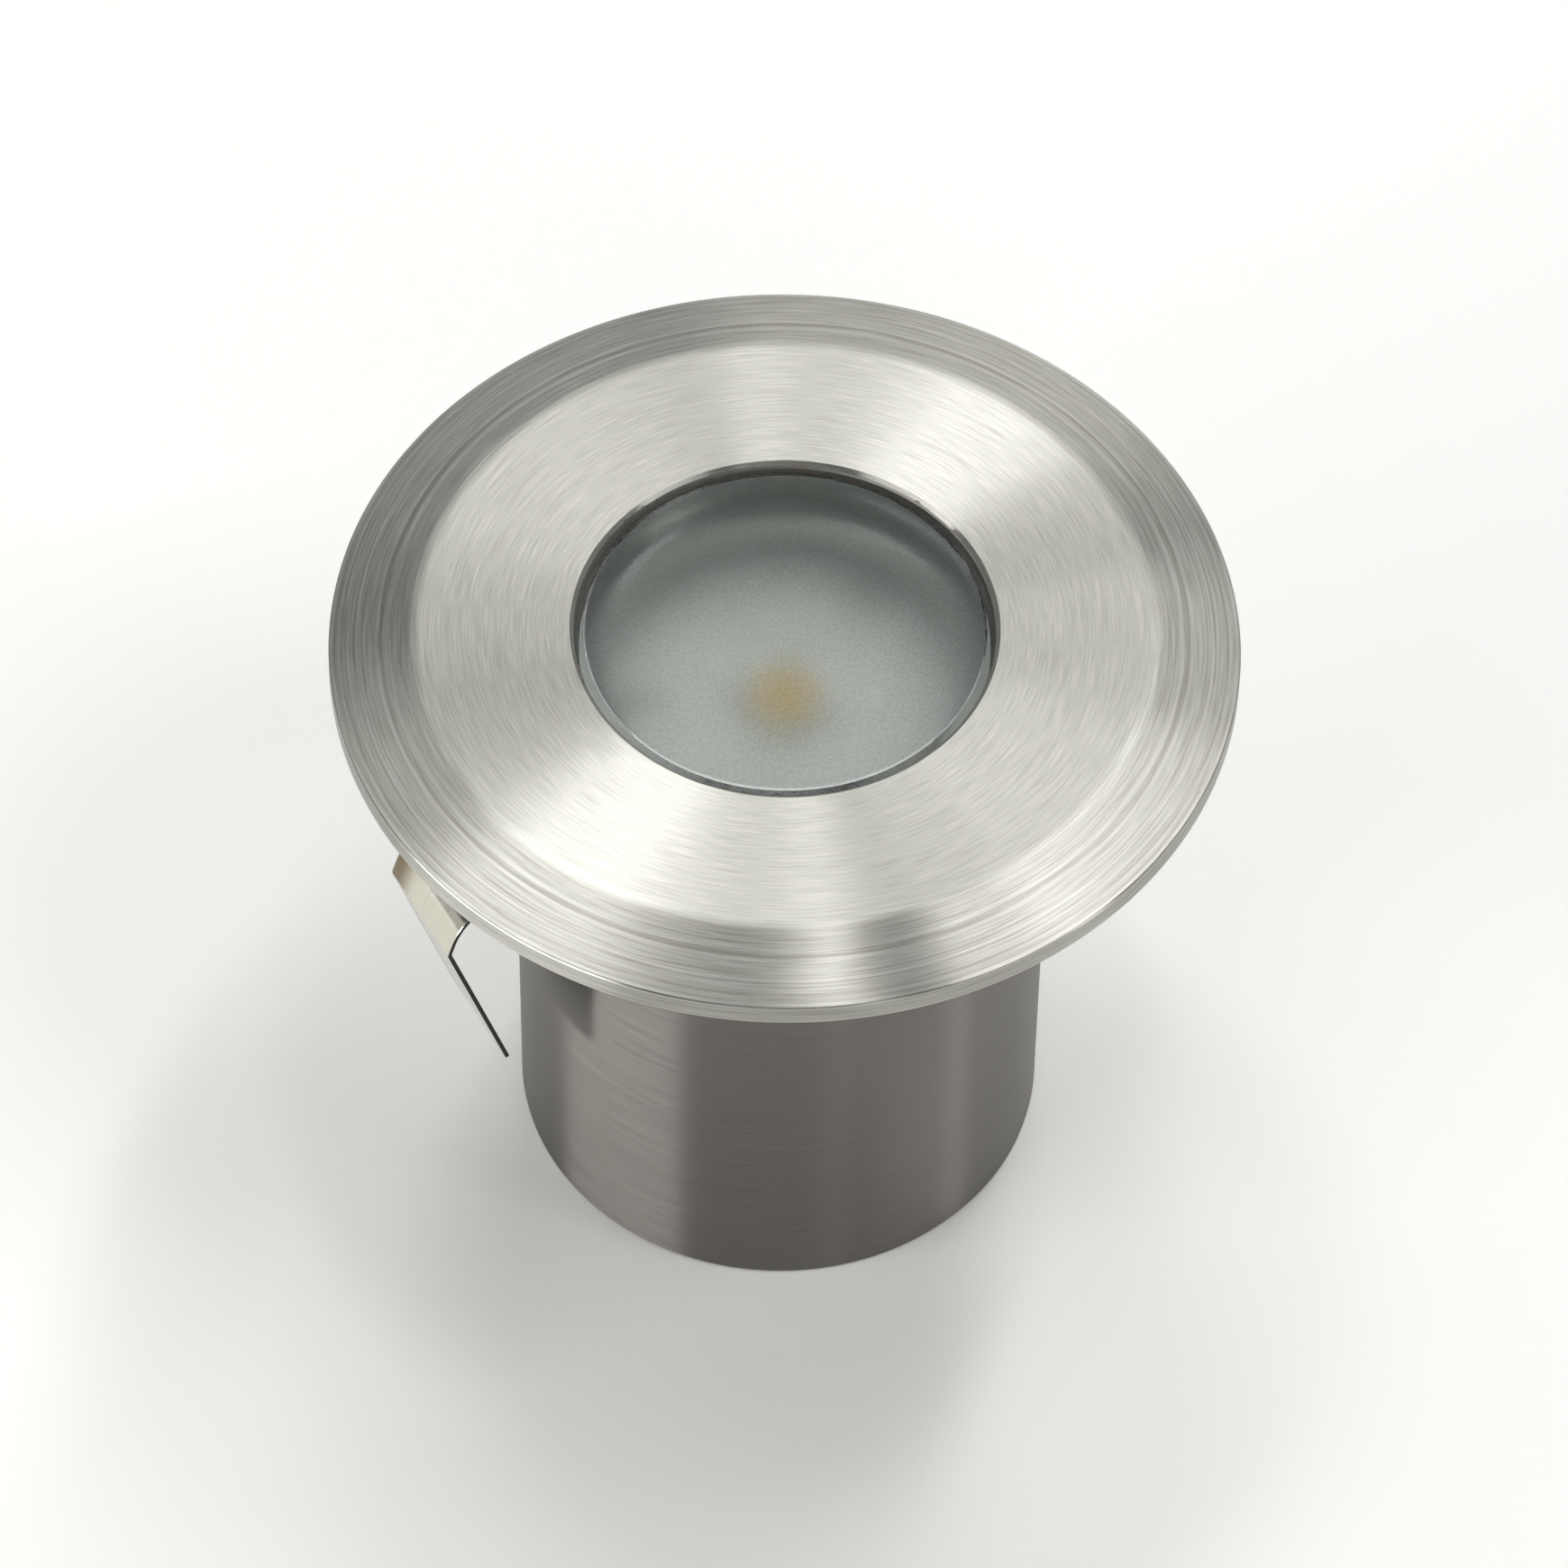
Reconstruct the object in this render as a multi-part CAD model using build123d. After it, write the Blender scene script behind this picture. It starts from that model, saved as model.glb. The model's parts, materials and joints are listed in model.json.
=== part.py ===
import os
from math import radians, tan

from build123d import *

# A round light let into a hole in a deck board and held there by two spring clips.
# Lengths are in millimetres. The deck's surface is z = 0, and the light's axis is Z.

# Glass
glass_radius = 13.6
glass_thickness = 4.0
glass_recess = 0.4  # the glass lies this far below the top of the bezel
glass_chamfer = 0.3  # polished
glass_gap = 0.15  # filled with sealant
sealant_film = 0.02  # between the sealant and what it fills
gasket_thickness = 0.8

# Bezel
flange_thickness = 3.0
flange_overhang = 12.0  # beyond the body
bevel_width = 5.6
bevel_drop = 1.4
bevel_blend = 4.0  # radius between the flat and the bevel
rim_chamfer = 0.15
aperture_chamfer = 0.4
ledge_width = 1.6  # under the glass
ledge_thickness = 1.8
skirt_wall = 1.2  # round the glass
skirt_gap = 0.2  # between the skirt's end and the heat sink
relief_depth = 0.5  # turned away beside the body, so that only the outer land meets the deck
relief_width = 3.5

# Housing
thread_gap = 0.05
housing_wall = 3.0
seat_width = 0.8  # step that carries the heat sink
cavity_depth = 22.0
base_lip = 1.3  # base above the cable seal
base_chamfer = 0.4

# Seal between bezel and housing
o_ring_height = 1.0
o_ring_width = 1.2
o_ring_chamfer = 0.3  # its squeezed shape
groove_gap = 0.05

# Light source
spacer_height = 3.0
spacer_wall = 1.0
spacer_gap = 0.1
board_thickness = 1.6
board_gap = 0.2
led_size = 6.0
led_base_height = 0.7
emitter_radius = 2.0
emitter_height = 0.45
dam_width = 0.5
dam_height = 0.5
emitter_film = 0.02  # between the emitter and its dam
pad_thickness = 0.3
pad_inset = 0.5
pedestal_height = 0.6
slug_thickness = 6.5
slug_gap = 0.1

# Wires from the driver to the light source
lead_radius = 0.5
lead_hole_radius = 1.2
lead_inset = 2.1  # from the edge of the board
lead_tail = 2.0  # length soldered to the board
lead_angles = (30, 150)

# Driver
standoff_length = 6.0
standoff_radius = 1.75
standoff_inset = 3.7  # from the wall of the cavity
standoff_angles = (90, 210, 330)
stud_radius = 0.75
stud_length = 2.5
stud_gap = 0.05
driver_thickness = 1.2
driver_gap = 1.0
driver_head_radius = 1.5
driver_head_height = 1.0
inductor_radius = 4.0
inductor_hub = 2.2
inductor_height = 6.5
inductor_cheek = 1.2
winding_radius = 3.6
winding_gap = 0.05
inductor_inset = 6.2  # from the edge of the board to its middle
inductor_angle = 143
capacitor_radius = 3.15
capacitor_height = 9.0
capacitor_chamfer = 0.4
capacitor_crimp = 0.3
capacitor_neck = 1.2  # from the board to the crimp
capacitor_inset = 5.9  # from the edge of the board to its middle
capacitor_angle = 37
chip_size = (4.9, 3.9, 1.5)
diode_size = (2.6, 4.3, 2.2)
diode_inset = 7.2  # from the edge of the board to its middle
diode_angles = (0, 180)
block_size = (10.0, 6.5, 8.0)
block_inset = 4.0  # from the edge of the board to its side
block_pitch = 5.0
wire_entry_radius = 1.3
wire_entry_depth = 5.0
clamp_screw_radius = 1.5
clamp_screw_length = 1.5
clamp_screw_gap = 0.05

# Cable entry
cable_radius = 3.0
cable_gap = 0.25  # round the cable in everything but the seal
seal_wall = 2.8
seal_length = 3.0
gland_gap = 0.1
washer_thickness = 0.5
nut_length = 3.0
nut_recess = 0.2
nut_chamfer = 0.4
spanner_hole_radius = 0.75
spanner_hole_depth = 1.6
spanner_hole_angles = (0, 180)

# Spring clips
clip_width = 8.0
clip_thickness = 0.3
clip_flat_depth = 0.5  # milled into the body
clip_flat_gap = 0.2
foot_top = 0.6  # below the deck's surface
foot_height = 5.0  # flat on the body
root_bend = 1.35  # radii to the middle of the strip
shelf_length = 3.84
shoulder_bend = 4.4
shoulder_turn = 71.0
brow_length = 1.0
nose_bend = 0.5
leg_length = 15.2
leg_lean = 16.0  # from upright, back towards the body
root_cut = 22.0  # degrees of the root bend left open, where the strip flexes
root_cut_start = 32.0  # degrees of the root bend that stay with the foot
clip_screw_radius = 1.0
clip_screw_gap = 0.1
clip_head_radius = 1.9
clip_head_height = 1.4
clip_head_chamfer = 0.5
wall_left = 0.5  # behind the blind screw hole
clip_turns = {"left": 180, "right": 0}

# Radii, from the glass outwards
bore_radius = glass_radius + glass_gap
skirt_radius = bore_radius + skirt_wall
thread_radius = skirt_radius + thread_gap
body_radius = thread_radius + housing_wall
flange_radius = body_radius + flange_overhang
land_radius = body_radius + relief_width
ledge_radius = bore_radius - ledge_width
spacer_radius = ledge_radius + spacer_wall
skirt_bore = spacer_radius + spacer_gap
board_radius = skirt_bore - board_gap
cavity_radius = thread_radius - seat_width
slug_radius = thread_radius - slug_gap
lead_circle = board_radius - lead_inset
standoff_circle = cavity_radius - standoff_inset
driver_radius = cavity_radius - driver_gap
cable_hole = cable_radius + cable_gap
seal_radius = cable_radius + seal_wall
gland_radius = seal_radius + gland_gap
clip_flat = body_radius - clip_flat_depth
o_ring_radius = (thread_radius + clip_flat) / 2

# Heights, from the top of the bezel down
glass_top = flange_thickness - glass_recess
glass_bottom = glass_top - glass_thickness
ledge_top = glass_bottom - gasket_thickness
ledge_bottom = ledge_top - ledge_thickness
board_top = ledge_bottom - spacer_height
board_bottom = board_top - board_thickness
pedestal_top = board_bottom - pad_thickness
slug_top = pedestal_top - pedestal_height
skirt_bottom = slug_top + skirt_gap
slug_bottom = slug_top - slug_thickness
driver_top = slug_bottom - standoff_length
driver_bottom = driver_top - driver_thickness
floor_top = slug_bottom - cavity_depth
seal_top = floor_top - base_lip
washer_top = seal_top - seal_length
nut_top = washer_top - washer_thickness
nut_bottom = nut_top - nut_length
base_bottom = nut_bottom - nut_recess

# Clip heights
foot_bottom = -foot_top - foot_height
clip_screw_z = -foot_top - foot_height / 2
clip_hinge = Vector(clip_flat + clip_thickness / 2 + root_bend, foot_bottom)


def turned(*corners):
    # A turned piece from its half section: corners of radius, height and, where it has one, rounding.
    points = [corner[:2] for corner in corners]
    rounds = [corner[2] if len(corner) > 2 else 0 for corner in corners]
    section = make_face(FilletPolyline(*points, radius=rounds, close=True))
    return revolve(Plane.XZ * section, Axis.Z)


def disc(radius, top, bottom):
    upright = (Align.CENTER, Align.CENTER, Align.MIN)
    return Pos(0, 0, bottom) * Cylinder(radius, top - bottom, align=upright)


def tube(outer, inner, top, bottom):
    return disc(outer, top, bottom) - disc(inner, top, bottom)


def block(size, place, bottom):
    upright = (Align.CENTER, Align.CENTER, Align.MIN)
    return Pos(*place, bottom) * Box(*size, align=upright)


def polar(radius, angle):
    return Rot(0, 0, angle) * Pos(radius, 0, 0)


def around(radius, angles):
    return [polar(radius, angle) for angle in angles]


def group(solids):
    return Compound(children=list(solids))


def bezel():
    rim_top = flange_thickness - bevel_drop
    bevel_slope = bevel_drop / bevel_width
    return turned(
        (bore_radius, ledge_top),
        (bore_radius, flange_thickness - aperture_chamfer),
        (bore_radius + aperture_chamfer, flange_thickness),
        (flange_radius - bevel_width, flange_thickness, bevel_blend),
        (flange_radius - rim_chamfer, rim_top + rim_chamfer * bevel_slope),
        (flange_radius, rim_top - rim_chamfer),
        (flange_radius, rim_chamfer),
        (flange_radius - rim_chamfer, 0),
        (land_radius, 0),
        (land_radius, relief_depth),
        (skirt_radius, relief_depth),
        (skirt_radius, skirt_bottom),
        (skirt_bore, skirt_bottom),
        (skirt_bore, ledge_bottom),
        (ledge_radius, ledge_bottom),
        (ledge_radius, ledge_top),
    )


def housing():
    cup = turned(
        (thread_radius, relief_depth),
        (body_radius, relief_depth),
        (body_radius, base_bottom + base_chamfer),
        (body_radius - base_chamfer, base_bottom),
        (gland_radius, base_bottom),
        (gland_radius, seal_top),
        (cable_hole, seal_top),
        (cable_hole, floor_top),
        (cavity_radius, floor_top),
        (cavity_radius, slug_bottom),
        (thread_radius, slug_bottom),
    )
    half_groove = o_ring_width / 2 + groove_gap
    groove_bottom = relief_depth - o_ring_height
    cup -= tube(o_ring_radius + half_groove, o_ring_radius - half_groove, relief_depth, groove_bottom)
    for turn in clip_turns.values():
        cup -= Rot(0, 0, turn) * clip_seat()
    return cup


def clip_seat():
    # The milled flat behind a clip's foot, with the blind hole for its screw.
    flat_bottom = foot_bottom - root_bend - clip_thickness / 2 - clip_flat_gap
    flat_height = -foot_top + clip_flat_gap - flat_bottom
    outwards = (Align.MIN, Align.CENTER, Align.MIN)
    cutter = Box(body_radius, body_radius, flat_height, align=outwards)  # out past the wall
    flat = Pos(clip_flat, 0, flat_bottom) * cutter
    depth = housing_wall - clip_flat_depth - wall_left
    inwards = (Align.CENTER, Align.CENTER, Align.MAX)
    hole = Cylinder(clip_screw_radius + thread_gap, depth, align=inwards)
    return flat + Pos(clip_flat, 0, clip_screw_z) * Rot(0, 90, 0) * hole


def lens_glass():
    return turned(
        (0, glass_bottom),
        (glass_radius - glass_chamfer, glass_bottom),
        (glass_radius, glass_bottom + glass_chamfer),
        (glass_radius, glass_top - glass_chamfer),
        (glass_radius - glass_chamfer, glass_top),
        (0, glass_top),
    )


def lens_sealant():
    outer = bore_radius - sealant_film
    inner = glass_radius + sealant_film
    return tube(outer, inner, glass_top - glass_chamfer, glass_bottom)


def lens_gasket():
    return tube(glass_radius - glass_chamfer, ledge_radius, glass_bottom, ledge_top)


def bezel_o_ring():
    # Squeezed flat between the bezel and the floor of its groove.
    inner = o_ring_radius - o_ring_width / 2
    outer = o_ring_radius + o_ring_width / 2
    top = relief_depth
    bottom = relief_depth - o_ring_height
    return turned(
        (inner + o_ring_chamfer, bottom),
        (outer - o_ring_chamfer, bottom),
        (outer, bottom + o_ring_chamfer),
        (outer, top - o_ring_chamfer),
        (outer - o_ring_chamfer, top),
        (inner + o_ring_chamfer, top),
        (inner, top - o_ring_chamfer),
        (inner, bottom + o_ring_chamfer),
    )


def spacer_ring():
    return tube(spacer_radius, ledge_radius, ledge_bottom, board_top)


def with_lead_holes(shape, top, bottom):
    for place in around(lead_circle, lead_angles):
        shape -= place * disc(lead_hole_radius, top, bottom)
    return shape


def led_board():
    return with_lead_holes(disc(board_radius, board_top, board_bottom), board_top, board_bottom)


def led_substrate():
    return block((led_size, led_size, led_base_height), (0, 0), board_top)


def led_dam():
    bottom = board_top + led_base_height
    return tube(emitter_radius + dam_width, emitter_radius, bottom + dam_height, bottom)


def led_phosphor():
    bottom = board_top + led_base_height
    return disc(emitter_radius - emitter_film, bottom + emitter_height, bottom)


def thermal_pad():
    pad = disc(board_radius - pad_inset, board_bottom, pedestal_top)
    return with_lead_holes(pad, board_bottom, pedestal_top)


def heat_sink():
    slug = turned(
        (0, slug_bottom),
        (slug_radius, slug_bottom),
        (slug_radius, slug_top),
        (board_radius, slug_top),
        (board_radius, pedestal_top),
        (0, pedestal_top),
    )
    slug = with_lead_holes(slug, pedestal_top, slug_bottom)
    for place in around(standoff_circle, standoff_angles):
        slug -= place * disc(stud_radius + stud_gap, slug_bottom + stud_length, slug_bottom)
    return slug


def led_lead(angle):
    # Lies on the board, then turns down through it and the heat sink to the driver.
    top = board_top + lead_radius
    start = lead_circle - lead_hole_radius - lead_tail
    corners = ((start, 0, top), (lead_circle, 0, top), (lead_circle, 0, driver_top))
    path = FilletPolyline(*corners, radius=lead_hole_radius)
    section = Plane(origin=path @ 0, z_dir=path % 0) * Circle(lead_radius)
    return Rot(0, 0, angle) * sweep(section, path)


def driver_standoffs():
    post = disc(standoff_radius, slug_bottom, driver_top)
    post += disc(stud_radius, slug_bottom + stud_length, slug_bottom)
    post -= disc(stud_radius + stud_gap, driver_top + stud_length, driver_top)
    return group(place * post for place in around(standoff_circle, standoff_angles))


def driver_screws():
    screw = disc(stud_radius, driver_top + stud_length, driver_bottom)
    screw += disc(driver_head_radius, driver_bottom, driver_bottom - driver_head_height)
    return group(place * screw for place in around(standoff_circle, standoff_angles))


def driver_board():
    board = disc(driver_radius, driver_top, driver_bottom)
    for place in around(standoff_circle, standoff_angles):
        board -= place * disc(stud_radius + stud_gap, driver_top, driver_bottom)
    return board


def inductor_place():
    return polar(driver_radius - inductor_inset, inductor_angle)


def inductor_core():
    bottom = driver_bottom - inductor_height
    drum = turned(
        (0, bottom),
        (inductor_radius, bottom),
        (inductor_radius, bottom + inductor_cheek),
        (inductor_hub, bottom + inductor_cheek),
        (inductor_hub, driver_bottom - inductor_cheek),
        (inductor_radius, driver_bottom - inductor_cheek),
        (inductor_radius, driver_bottom),
        (0, driver_bottom),
    )
    return inductor_place() * drum


def inductor_winding():
    top = driver_bottom - inductor_cheek
    bottom = driver_bottom - inductor_height + inductor_cheek
    return inductor_place() * tube(winding_radius, inductor_hub + winding_gap, top, bottom)


def driver_capacitor():
    # A can with a crimped neck near the board.
    bottom = driver_bottom - capacitor_height
    neck = driver_bottom - capacitor_neck
    can = turned(
        (0, bottom),
        (capacitor_radius - capacitor_chamfer, bottom),
        (capacitor_radius, bottom + capacitor_chamfer),
        (capacitor_radius, neck - capacitor_crimp),
        (capacitor_radius - capacitor_crimp, neck),
        (capacitor_radius, neck + capacitor_crimp),
        (capacitor_radius, driver_bottom),
        (0, driver_bottom),
    )
    return polar(driver_radius - capacitor_inset, capacitor_angle) * can


def driver_chip():
    return block(chip_size, (0, 0), driver_top)


def driver_diodes():
    diode = block(diode_size, (0, 0), driver_top)
    return group(place * diode for place in around(driver_radius - diode_inset, diode_angles))


def block_middle():
    return block_size[1] / 2 + block_inset - driver_radius


def clamp_screw_places():
    # On the block's outer side, one over each wire entry.
    side = block_middle() - block_size[1] / 2
    height = driver_bottom - block_size[2] / 2
    turn = Rot(90, 0, 0)
    return [Pos(x, side, height) * turn for x in (-block_pitch / 2, block_pitch / 2)]


def terminal_block():
    bottom = driver_bottom - block_size[2]
    body = block(block_size, (0, block_middle()), bottom)
    entry = disc(wire_entry_radius, bottom + wire_entry_depth, bottom)
    for x in (-block_pitch / 2, block_pitch / 2):
        body -= Pos(x, block_middle()) * entry
    for place in clamp_screw_places():
        body -= place * disc(clamp_screw_radius + clamp_screw_gap, 0, -block_size[1] / 2)
    return body


def terminal_screws():
    screw = disc(clamp_screw_radius, -clamp_screw_gap, -clamp_screw_length)
    return group(place * screw for place in clamp_screw_places())


def gland_seal():
    return tube(seal_radius, cable_radius, seal_top, washer_top)


def gland_washer():
    return tube(seal_radius, cable_hole, washer_top, nut_top)


def gland_nut():
    nut = turned(
        (cable_hole, nut_top),
        (seal_radius, nut_top),
        (seal_radius, nut_bottom),
        (cable_hole + nut_chamfer, nut_bottom),
        (cable_hole, nut_bottom + nut_chamfer),
    )
    spanner_circle = (cable_hole + nut_chamfer + seal_radius) / 2
    for place in around(spanner_circle, spanner_hole_angles):
        nut -= place * disc(spanner_hole_radius, nut_bottom + spanner_hole_depth, nut_bottom)
    return nut


def clip_middle_line():
    # The strip seen from its edge: corners of its middle line and the bend at each one.
    foot_x = clip_flat + clip_thickness / 2
    shelf_z = foot_bottom - root_bend
    turn_length = shoulder_bend * tan(radians(shoulder_turn / 2))
    root = Vector(foot_x, shelf_z)
    shoulder = root + Vector(root_bend + shelf_length + turn_length, 0)
    nose = shoulder + Vector(turn_length + brow_length, 0).rotate(Axis.Z, -shoulder_turn)
    tip = nose + Vector(0, -leg_length).rotate(Axis.Z, -leg_lean)
    corners = [Vector(foot_x, -foot_top), root, shoulder, nose, tip]
    return corners, [root_bend, shoulder_bend, nose_bend]


def band(corners, bends, thickness):
    # Outline of a strip of even thickness: its middle line moved half of that to each side.
    half = thickness / 2
    runs = [(b - a).normalized() for a, b in zip(corners, corners[1:])]
    normals = [Vector(-run.Y, run.X) for run in runs]
    left = [corners[0] + normals[0] * half]
    right = [corners[0] - normals[0] * half]
    left_rounds = []
    right_rounds = []
    for corner, bend, before, after, run in zip(corners[1:], bends, normals, normals[1:], runs):
        mitre = (before + after) * (half / (1 + before.dot(after)))
        left.append(corner + mitre)
        right.append(corner - mitre)
        side = half if run.dot(after) < 0 else -half
        left_rounds.append(bend - side)
        right_rounds.append(bend + side)
    left.append(corners[-1] + normals[-1] * half)
    right.append(corners[-1] - normals[-1] * half)
    rounds = [0, *left_rounds, 0, 0, *reversed(right_rounds), 0]
    return make_face(FilletPolyline(*left, *reversed(right), radius=rounds, close=True))


def clip_strip():
    # The whole strip of the right-hand clip, cut open in its root bend where it flexes.
    corners, bends = clip_middle_line()
    strip = extrude(Plane.XZ * band(corners, bends, clip_thickness), clip_width / 2, both=True)
    reach = Vector(-root_bend - clip_thickness, 0)  # past the strip's outer face
    first = clip_hinge + reach.rotate(Axis.Z, root_cut_start)
    last = clip_hinge + reach.rotate(Axis.Z, root_cut_start + root_cut)
    wedge = make_face(Polyline(clip_hinge, first, last, close=True))
    strip -= extrude(Plane.XZ * wedge, clip_width, both=True)
    foot, leaf = strip.solids().sort_by(Axis.X)
    hole = Rot(0, 90, 0) * disc(clip_screw_radius + clip_screw_gap, clip_thickness, 0)
    foot -= Pos(clip_flat, 0, clip_screw_z) * hole
    return foot, leaf


def clip_screws():
    head = clip_flat + clip_thickness
    depth = housing_wall - clip_flat_depth - wall_left
    screw = turned(
        (0, -clip_thickness - depth),
        (clip_screw_radius, -clip_thickness - depth),
        (clip_screw_radius, 0),
        (clip_head_radius, 0),
        (clip_head_radius, clip_head_height - clip_head_chamfer),
        (clip_head_radius - clip_head_chamfer, clip_head_height),
        (0, clip_head_height),
    )
    seated = Pos(head, 0, clip_screw_z) * Rot(0, 90, 0) * screw
    return group(Rot(0, 0, turn) * seated for turn in clip_turns.values())


pieces = {
    "bezel": bezel(),
    "housing": housing(),
    "lens_glass": lens_glass(),
    "lens_sealant": lens_sealant(),
    "lens_gasket": lens_gasket(),
    "bezel_o_ring": bezel_o_ring(),
    "spacer_ring": spacer_ring(),
    "led_board": led_board(),
    "led_substrate": led_substrate(),
    "led_dam": led_dam(),
    "led_phosphor": led_phosphor(),
    "thermal_pad": thermal_pad(),
    "heat_sink": heat_sink(),
    "led_lead_positive": led_lead(lead_angles[0]),
    "led_lead_negative": led_lead(lead_angles[1]),
    "driver_standoffs": driver_standoffs(),
    "driver_screws": driver_screws(),
    "driver_board": driver_board(),
    "inductor_core": inductor_core(),
    "inductor_winding": inductor_winding(),
    "driver_capacitor": driver_capacitor(),
    "driver_chip": driver_chip(),
    "driver_diodes": driver_diodes(),
    "terminal_block": terminal_block(),
    "terminal_screws": terminal_screws(),
    "gland_seal": gland_seal(),
    "gland_washer": gland_washer(),
    "gland_nut": gland_nut(),
    "clip_screws": clip_screws(),
}
foot, leaf = clip_strip()
for side, turn in clip_turns.items():
    pieces[f"clip_foot_{side}"] = Rot(0, 0, turn) * foot
    pieces[f"clip_leaf_{side}"] = Rot(0, 0, turn) * leaf

os.makedirs("parts", exist_ok=True)
for name, piece in pieces.items():
    export_step(piece, f"parts/{name}.step")
print(f"body {body_radius * 2:.1f} wide, flange {flange_radius * 2:.1f} wide, {-base_bottom:.1f} deep")
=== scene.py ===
import json

import bpy
import numpy as np
from mathutils import Matrix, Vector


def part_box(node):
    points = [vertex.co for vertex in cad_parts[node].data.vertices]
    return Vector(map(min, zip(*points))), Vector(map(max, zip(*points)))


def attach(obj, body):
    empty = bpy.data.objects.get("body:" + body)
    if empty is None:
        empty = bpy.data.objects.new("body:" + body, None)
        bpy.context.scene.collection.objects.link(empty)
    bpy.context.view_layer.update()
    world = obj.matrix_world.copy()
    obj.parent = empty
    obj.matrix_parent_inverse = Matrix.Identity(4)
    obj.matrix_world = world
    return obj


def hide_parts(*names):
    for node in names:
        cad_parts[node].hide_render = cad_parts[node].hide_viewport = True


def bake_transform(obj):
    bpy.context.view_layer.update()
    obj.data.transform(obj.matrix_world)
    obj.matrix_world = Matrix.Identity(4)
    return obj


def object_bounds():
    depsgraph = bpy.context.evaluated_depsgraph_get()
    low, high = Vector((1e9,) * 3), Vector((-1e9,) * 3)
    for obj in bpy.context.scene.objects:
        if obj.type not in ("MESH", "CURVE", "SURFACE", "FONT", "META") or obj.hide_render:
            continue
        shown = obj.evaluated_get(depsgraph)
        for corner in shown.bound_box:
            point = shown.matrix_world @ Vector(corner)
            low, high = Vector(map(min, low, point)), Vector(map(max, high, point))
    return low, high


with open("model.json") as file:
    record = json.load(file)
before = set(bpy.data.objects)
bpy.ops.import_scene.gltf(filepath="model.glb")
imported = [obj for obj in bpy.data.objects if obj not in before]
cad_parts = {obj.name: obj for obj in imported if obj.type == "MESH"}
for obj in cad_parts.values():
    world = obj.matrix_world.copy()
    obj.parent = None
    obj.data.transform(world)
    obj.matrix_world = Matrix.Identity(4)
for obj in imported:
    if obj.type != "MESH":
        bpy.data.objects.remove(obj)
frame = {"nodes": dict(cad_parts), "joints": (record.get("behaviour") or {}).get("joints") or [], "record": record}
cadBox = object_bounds()
scene = bpy.context.scene
scene.view_settings.view_transform = "Standard"
mm = 0.001
print("frame loaded:", len(frame["nodes"]), "nodes")


def linear(hexColour):
    # sRGB hex to the linear colour that shaders take
    parts = np.array([int(hexColour[i:i + 2], 16) for i in (1, 3, 5)]) / 255
    parts = np.where(parts <= 0.04045, parts / 12.92, ((parts + 0.055) / 1.055) ** 2.4)
    return (*parts.tolist(), 1.0)


def addNode(tree, kind, inputs=None, **settings):
    # a node with its settings; an input that is another node's socket becomes a link
    node = tree.nodes.new(kind)
    for name, value in settings.items():
        setattr(node, name, value)
    for name, value in (inputs or {}).items():
        if isinstance(value, bpy.types.NodeSocket):
            tree.links.new(value, node.inputs[name])
        else:
            node.inputs[name].default_value = value
    return node


def newMaterial(name):
    # an empty node tree and the object's own coordinates
    material = bpy.data.materials.new(name)
    material.use_nodes = True
    tree = material.node_tree
    tree.nodes.clear()
    coords = addNode(tree, "ShaderNodeTexCoord").outputs["Object"]
    return material, tree, coords


def showSurface(tree, kind, inputs):
    # the shader that the material shows
    shader = addNode(tree, kind, inputs)
    addNode(tree, "ShaderNodeOutputMaterial", {"Surface": shader.outputs[0]})


def boxOf(node):
    # a node's lowest and highest corners in mm
    low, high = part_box(node)
    return np.array(low) / mm, np.array(high) / mm


# camera, from the ellipses of the bezel, the lens and the base in the photograph
photoView = {
    "side": 1740,  # pixels
    "focalPixels": 9192,
    "sensor": 36.0,  # mm
    "azimuth": -30.0,
    "elevation": 52.51,
    "roll": -0.91,
    "distance": 543.6,  # mm, to the middle of the bezel's top
    "middleRight": 0.07,  # where that middle lies in the view, mm
    "middleUp": 10.36,
}


def turnedToView(right, back, up):
    # a direction given as the photographer sees it, in the object's frame
    turn = np.radians(photoView["azimuth"])
    return np.array([
        right * np.cos(turn) - back * np.sin(turn),
        right * np.sin(turn) + back * np.cos(turn),
        up,
    ])


def addCamera():
    tilt = np.radians(photoView["elevation"])
    roll = np.radians(photoView["roll"])
    level = turnedToView(1, 0, 0)
    steep = turnedToView(0, np.sin(tilt), np.cos(tilt))
    forward = turnedToView(0, np.cos(tilt), -np.sin(tilt))
    right = np.cos(roll) * level - np.sin(roll) * steep
    up = np.sin(roll) * level + np.cos(roll) * steep
    middle = np.array([0, 0, boxOf("bezel")[1][2]])
    aside = photoView["middleRight"] * right + photoView["middleUp"] * up
    place = (middle - aside - photoView["distance"] * forward) * mm
    data = bpy.data.cameras.new("photoCamera")
    data.sensor_width = photoView["sensor"]
    data.lens = photoView["sensor"] * photoView["focalPixels"] / photoView["side"]
    data.clip_start = 0.01
    camera = bpy.data.objects.new("photoCamera", data)
    axes = np.eye(4)
    axes[:3, 0], axes[:3, 1], axes[:3, 2], axes[:3, 3] = right, up, -forward, place
    camera.matrix_world = Matrix(axes.tolist())
    scene.collection.objects.link(camera)
    scene.camera = camera


addCamera()
print("camera placed")


# shapes, in mm and degrees

def gridFaces(rows, columns, wrapRows=False):
    # the four corners of each cell of a grid of points whose columns close into a ring
    i, j = np.meshgrid(np.arange(rows if wrapRows else rows - 1), np.arange(columns), indexing="ij")
    below, beside = (i + 1) % rows, (j + 1) % columns
    cells = [i * columns + j, below * columns + j, below * columns + beside, i * columns + beside]
    return np.stack(cells, -1).reshape(-1, 4)


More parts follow.
